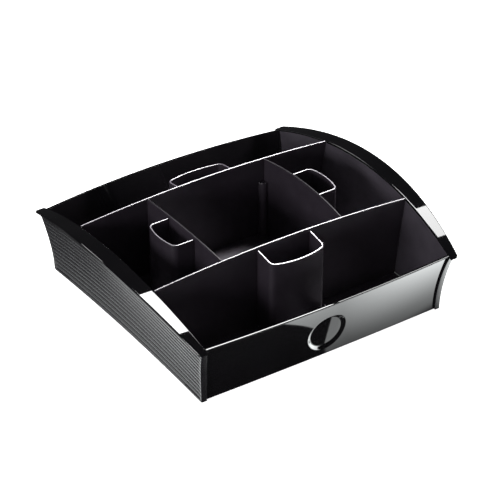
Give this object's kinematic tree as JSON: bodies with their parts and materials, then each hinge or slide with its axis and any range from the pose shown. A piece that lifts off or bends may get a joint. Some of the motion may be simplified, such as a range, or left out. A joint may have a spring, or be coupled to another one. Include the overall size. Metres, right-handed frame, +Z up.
{
  "type": "desk organizer",
  "caption": "Low black desk organizer with a domed outline: dividers make open compartments around a centre bay with tall D-shaped pockets, between ribbed sides and a curved glossy front.",
  "frame": {"origin": "centre of the footprint, on the surface the organizer rests on", "axes": "+X to the right seen from the front, -Y towards the panel with the round dish, +Z up"},
  "size_m": [0.3716, 0.3453, 0.1116],
  "materials": {
    "gloss_black": "high gloss black",
    "ribbed_black": "satin black, finely ribbed",
    "inner_black": "fine matte grain, black",
    "rubber_black": "plain"
  },
  "bodies": {
    "root": {"floor_plate": "inner_black", "left_side_wall": "inner_black", "right_side_wall": "inner_black", "front_row_divider": "inner_black", "rear_row_divider": "inner_black", "left_cross_divider": "inner_black", "right_cross_divider": "inner_black", "front_pocket": "inner_black", "rear_pocket": "inner_black", "left_pocket": "inner_black", "right_pocket": "inner_black", "left_low_rib": "inner_black", "right_low_rib": "inner_black", "corner_post_1": "inner_black", "corner_post_2": "inner_black", "corner_post_3": "inner_black", "corner_post_4": "inner_black", "front_panel": "gloss_black", "rear_panel": "gloss_black", "finger_dish": "gloss_black", "left_top_rail": "gloss_black", "right_top_rail": "gloss_black", "left_cheek": "ribbed_black", "right_cheek": "ribbed_black", "foot_1": "rubber_black", "foot_2": "rubber_black", "foot_3": "rubber_black", "foot_4": "rubber_black"}
  },
  "joints": []
}
